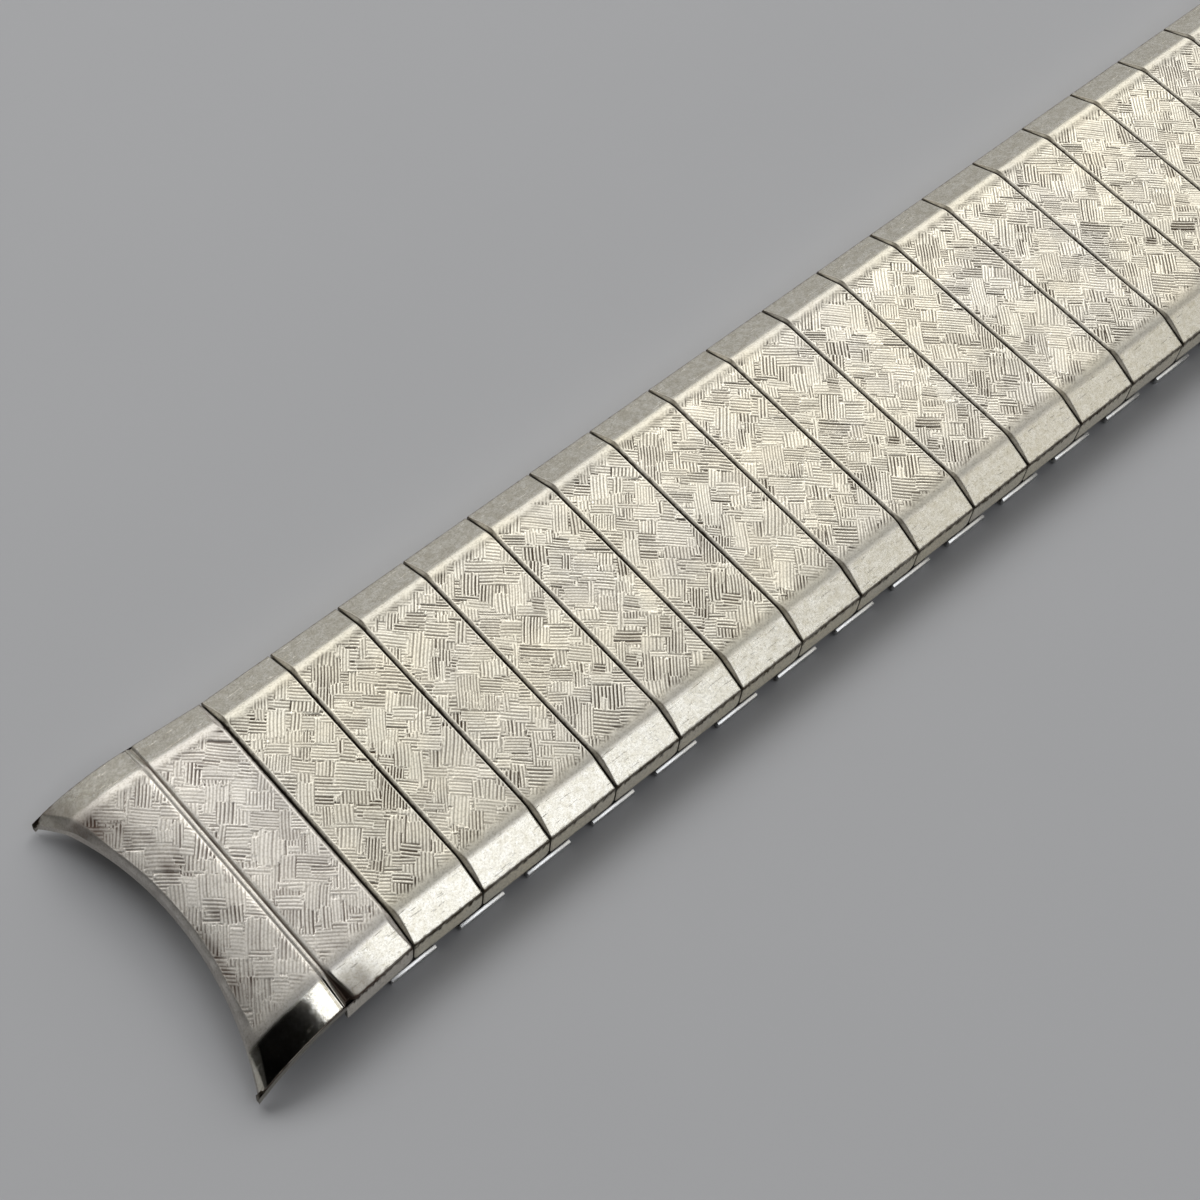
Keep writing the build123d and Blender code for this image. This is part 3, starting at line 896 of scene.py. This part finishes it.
def scratch_mask(tree, place):
    """Fine long scratches in two directions."""
    masks = []
    for angle, stretch, scale in SCRATCHES:
        turned = add(tree, "ShaderNodeMapping", {"Vector": place, "Rotation": (0, 0, radians(angle)),
                                                 "Scale": (1.0, stretch, 1.0)}).outputs[0]
        masks.append(ramp(tree, noise(tree, turned, scale, 2.0), [(0.69, 0.0), (0.73, 1.0)]))
    return maths(tree, "MAXIMUM", *masks)


def cap_material(name, crest, soft_crest, deep, shallow):
    """Polished, engraved and worn stainless steel with grime in its grooves, and shade painted into the gaps
    between caps.
    """
    material, tree, shader = new_material(name)
    place = add(tree, "ShaderNodeTexCoord").outputs["Object"]
    grime_and_shade = add(tree, "ShaderNodeAttribute", attribute_name="grime_and_shade").outputs["Fac"]
    polish = add(tree, "ShaderNodeAttribute", attribute_name="polish").outputs["Fac"]
    cloud = noise(tree, place, CLOUD_SCALE, 4.0)
    wide = noise(tree, place, WIDE_SCALE, 2.0)
    speckle = noise(tree, place, SPECKLE_SCALE, 3.0, 0.7)
    grain = noise(tree, place, GRAIN_SCALE, 4.0, 0.75)
    scratches = scratch_mask(tree, place)

    crown = mix(tree, ramp(tree, cloud, [(0.35, 0.0), (0.65, 1.0)]), crest, soft_crest)
    crown = mix(tree, ramp(tree, wide, [(0.42, 0.0), (0.66, 0.5)]), crown, WORN_GREY)
    sandy = mix(tree, ramp(tree, grain, [(0.38, 0.0), (0.62, 1.0)]), SANDY_DARK, SANDY_LIGHT)
    steel = mix(tree, maths(tree, "MULTIPLY", polish, 0.95, clamp=True), crown, sandy)
    flecked = maths(tree, "MULTIPLY", ramp(tree, speckle, [(0.47, 0.0), (0.68, 1.0)]), FLECK_STRENGTH)
    marked = mix(tree, flecked, steel, FLECK)
    marked = mix(tree, maths(tree, "MULTIPLY", scratches, SCRATCH_STRENGTH), marked, SCRATCH)
    # the dark colour stands for dirt in the grooves and on the rims, and for painted shade in the gaps
    # between caps
    uneven = maths(tree, "MULTIPLY", grime_and_shade, ramp(tree, cloud, [(0.3, 0.78), (0.7, 1.22)]), clamp=True)
    fill(tree, shader.inputs["Base Color"], mix(tree, uneven, marked, mix(tree, wide, deep, shallow)))
    fill(tree, shader.inputs["Metallic"], 1.0)

    rough = maths(tree, "SUBTRACT", CAP_ROUGHNESS, maths(tree, "MULTIPLY", polish, POLISH_SMOOTHING))
    rough = maths(tree, "ADD", rough, maths(tree, "MULTIPLY", uneven, GRIME_ROUGHENING))
    rough = maths(tree, "ADD", rough, maths(tree, "MULTIPLY", grain, GRAIN_ROUGHENING), clamp=True)
    fill(tree, shader.inputs["Roughness"], rough)
    fill(tree, shader.inputs["Normal"], bumped(tree, scratches, 0.3, bumped(tree, grain, 0.35)))
    return material


def under_walls(tree, place):
    """1 on the flaps of the lower row where they stand below the caps' side walls, where shade is painted."""
    parts = add(tree, "ShaderNodeSeparateXYZ", {0: place}).outputs
    reach = maths(tree, "MULTIPLY", maths(tree, "ABSOLUTE", parts["Y"]), 100.0)
    rise = maths(tree, "MULTIPLY", parts["Z"], 1000.0)
    return maths(tree, "MULTIPLY", ramp(tree, reach, [(0.86, 0.0), (0.87, 1.0), (0.917, 1.0), (0.929, 0.0)]),
                 ramp(tree, rise, [(0.15, 0.0), (0.4, 1.0)]))


def brushed_material(name, colour, dark, roughness, stretch):
    """Brushed steel with streaks along one axis and clouded dullness, painted almost black as shade under the
    caps' side walls.
    """
    material, tree, shader = new_material(name)
    place = add(tree, "ShaderNodeTexCoord").outputs["Object"]
    long_place = add(tree, "ShaderNodeMapping", {"Vector": place, "Scale": stretch}).outputs[0]
    streak = noise(tree, long_place, STREAK_SCALE, 4.0, 0.65)
    cloud = noise(tree, place, DULL_SCALE, 4.0)
    both = maths(tree, "ADD", maths(tree, "MULTIPLY", streak, 0.6), maths(tree, "MULTIPLY", cloud, 0.4))
    steel = mix(tree, ramp(tree, both, [(0.38, 0.0), (0.62, 1.0)]), dark, colour)
    # painted shade: links darkened almost to black where they stand under the caps' side walls
    painted_shade = maths(tree, "MULTIPLY", under_walls(tree, place), SHADE_UNDER_WALLS_STRENGTH)
    fill(tree, shader.inputs["Base Color"], mix(tree, painted_shade, steel, SHADE_UNDER_WALLS))
    fill(tree, shader.inputs["Metallic"], 1.0)
    rough = maths(tree, "ADD", roughness - 0.06, maths(tree, "MULTIPLY", streak, 0.14))
    fill(tree, shader.inputs["Roughness"], rough)
    fill(tree, shader.inputs["Normal"], bumped(tree, streak, 0.25))
    return material


cap_steel = cap_material("cap_steel", crest=(0.86, 0.81, 0.68), soft_crest=(0.82, 0.79, 0.685),
                         deep=(0.10, 0.068, 0.04), shallow=(0.07, 0.058, 0.045))
end_steel = cap_material("end_steel", crest=(0.82, 0.785, 0.72), soft_crest=(0.78, 0.75, 0.70),
                         deep=(0.12, 0.07, 0.052), shallow=(0.065, 0.06, 0.05))
link_steel = brushed_material("link_steel", colour=(0.86, 0.86, 0.84), dark=(0.70, 0.695, 0.68),
                              roughness=0.27, stretch=(0.12, 1.0, 1.0))
liner_steel = brushed_material("liner_steel", colour=(0.62, 0.61, 0.58), dark=(0.45, 0.44, 0.41),
                               roughness=0.36, stretch=(1.0, 0.12, 1.0))

# Caps
for number in range(1, CAPS + 1):
    suffix = f"{number:02d}"
    middle = (number - CAPS / 2 - 0.5) * PITCH
    piece = cap_skin(number).make("engraved_cap_" + suffix, lambda p, m=middle: p + (m, 0, 0), cap_steel)
    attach(piece, "cap_link_" + suffix)
    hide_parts("cap_" + suffix)

for side, sign in (("start", -1), ("finish", 1)):
    shift = sign * CAPS / 2 * PITCH
    piece = end_skin(END_SEEDS[side]).make("engraved_end_cap_" + side,
                                           lambda p, s=sign, m=shift: p * (s, s, 1) + (m, 0, 0), end_steel)
    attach(piece, side + "_end")
    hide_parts("end_cap_" + side)


def eased_copy(name, slope_flaps=False):
    """Copy of a CAD node with its sharp edges eased, and with the flap tops sloping outwards."""
    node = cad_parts[name]
    shape = bmesh.new()
    shape.from_mesh(node.data)
    shape.transform(node.matrix_world)
    bmesh.ops.remove_doubles(shape, verts=shape.verts, dist=WELD)
    bmesh.ops.dissolve_limit(shape, angle_limit=FLAT, verts=shape.verts, edges=shape.edges)
    if slope_flaps:
        for vertex in shape.verts:
            if abs(vertex.co.y) > FLAP_FACE and vertex.co.z > FLAP_TOP:
                vertex.co.z -= FLAP_FALL
    sharp = [edge for edge in shape.edges if len(edge.link_faces) == 2 and edge.calc_face_angle() > SHARP]
    bmesh.ops.bevel(shape, geom=sharp, offset=EASE, segments=2, profile=0.6, affect="EDGES",
                    clamp_overlap=True)
    bmesh.ops.triangulate(shape, faces=[face for face in shape.faces if len(face.verts) > 4])
    mesh = bpy.data.meshes.new("eased_" + name)
    shape.to_mesh(mesh)
    shape.free()
    mesh.polygons.foreach_set("use_smooth", np.ones(len(mesh.polygons), dtype=bool))
    mesh.set_sharp_from_angle(angle=SHADED_SHARP)
    piece = bpy.data.objects.new("eased_" + name, mesh)
    bpy.context.scene.collection.objects.link(piece)
    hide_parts(name)
    return piece


carried = [(f"lower_link_{number:02d}", f"inner_link_{number:02d}", link_steel, "link_steel")
           for number in range(CAPS + 1)]
carried += [(f"upper_sleeve_{number:02d}", f"cap_link_{number:02d}", link_steel, "link_steel")
            for number in range(1, CAPS + 1)]
carried += [(f"end_liner_{side}", f"{side}_end", liner_steel, "liner_steel") for side in ("start", "finish")]
for name, body, material, slot in carried:
    piece = eased_copy(name, name.startswith("lower_link"))
    piece.data.materials.append(material)
    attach(piece, body)

# Floor
floor_material, tree, shader = new_material("floor")
mottle = noise(tree, add(tree, "ShaderNodeTexCoord").outputs["Object"], MOTTLE_SCALE, 5.0)
fill(tree, shader.inputs["Base Color"], mix(tree, mottle, (0.52, 0.526, 0.545), (0.537, 0.543, 0.562)))
fill(tree, shader.inputs["Roughness"], 0.75)
floor_mesh = bpy.data.meshes.new("floor")
corners = [(x * FLOOR_HALF, y * FLOOR_HALF, 0) for x, y in ((-1, -1), (1, -1), (1, 1), (-1, 1))]
floor_mesh.from_pydata(corners, [], [(0, 1, 2, 3)])
floor_mesh.materials.append(floor_material)
floor = bpy.data.objects.new("floor", floor_mesh)
bpy.context.scene.collection.objects.link(floor)


def studio_sky():
    """A plain room: darker to the near side and the start, dark in one patch, bright low at the near side."""
    world = bpy.data.worlds.new("studio")
    bpy.context.scene.world = world
    world.use_nodes = True
    tree = world.node_tree
    direction = add(tree, "ShaderNodeTexCoord").outputs["Generated"]
    parts = add(tree, "ShaderNodeSeparateXYZ", {0: direction}).outputs
    sky = ramp(tree, maths(tree, "MAXIMUM", parts["Z"], 0.0),
               [(0.0, LOW_SKY), (0.4, HIGH_SKY), (1.0, TOP_SKY)])
    across = maths(tree, "MULTIPLY_ADD", parts["Y"], 0.5, 0.5)
    along = maths(tree, "MULTIPLY_ADD", parts["X"], 0.5, 0.5)
    near_horizon = maths(tree, "MULTIPLY", ramp(tree, parts["Z"], [(0.08, 1.0), (0.26, 0.0)]),
                         ramp(tree, across, [(0.3, 1.0), (0.5, 0.0)]))
    near_side = mix(tree, near_horizon, ramp(tree, across, [(0.35, 0.05), (0.68, 1.0)]), HORIZON_GLOW)
    start_side = ramp(tree, along, [(0.22, 0.15), (0.52, 1.0)])
    to_patch = add(tree, "ShaderNodeVectorMath", {0: direction, 1: Vector(DARK_PATCH).normalized()},
                   operation="DOT_PRODUCT")
    dark_patch = ramp(tree, to_patch.outputs["Value"], [(0.86, 1.0), (0.975, 0.2)])
    for share in (near_side, start_side, dark_patch):
        sky = mix(tree, 1.0, sky, share, "MULTIPLY")
    fill(tree, tree.nodes["Background"].inputs["Color"], sky)
    fill(tree, tree.nodes["Background"].inputs["Strength"], 1.0)


def lamp(name, towards, distance, size, power, colour):
    """A soft rectangular lamp in a direction from the band, facing it, with its power in watts."""
    light = bpy.data.lights.new(name, "AREA")
    light.shape = "RECTANGLE"
    light.size, light.size_y = size
    light.energy = power
    light.color = colour
    holder = bpy.data.objects.new(name, light)
    spot = Vector(towards).normalized() * distance
    holder.location = spot
    holder.rotation_euler = spot.to_track_quat("Z", "Y").to_euler()
    bpy.context.scene.collection.objects.link(holder)


studio_sky()
lamp("window", (0.22, 0.63, 0.74), distance=0.9, size=(1.3, 0.42), power=3.8, colour=DAYLIGHT)
lamp("rear_window", (-0.42, 0.70, 0.58), distance=0.9, size=(0.6, 0.36), power=0.6, colour=DAYLIGHT)
lamp("far_panel", (0.76, 0.32, 0.57), distance=0.9, size=(0.5, 0.5), power=0.7, colour=(1.0, 0.985, 0.95))
lamp("near_panel", (0.175, -0.51, 0.845), distance=0.8, size=(0.34, 0.22), power=0.465,
     colour=(0.975, 1.0, 1.045))
lamp("near_panel_far", (0.56, -0.45, 0.70), distance=0.8, size=(0.28, 0.24), power=0.225,
     colour=(1.0, 0.985, 0.94))

# Camera
camera = bpy.data.objects.new("camera", bpy.data.cameras.new("camera"))
camera.data.lens = LENS
camera.data.sensor_width = SENSOR_WIDTH
camera.data.clip_start = CLIP_START * MM
turn = Euler([radians(angle) for angle in CAMERA_TURN]).to_matrix().to_4x4()
camera.matrix_world = Matrix.Translation(Vector(CAMERA_PLACE) * MM) @ turn
bpy.context.scene.collection.objects.link(camera)
bpy.context.scene.camera = camera
bpy.context.scene.view_settings.view_transform = "Standard"
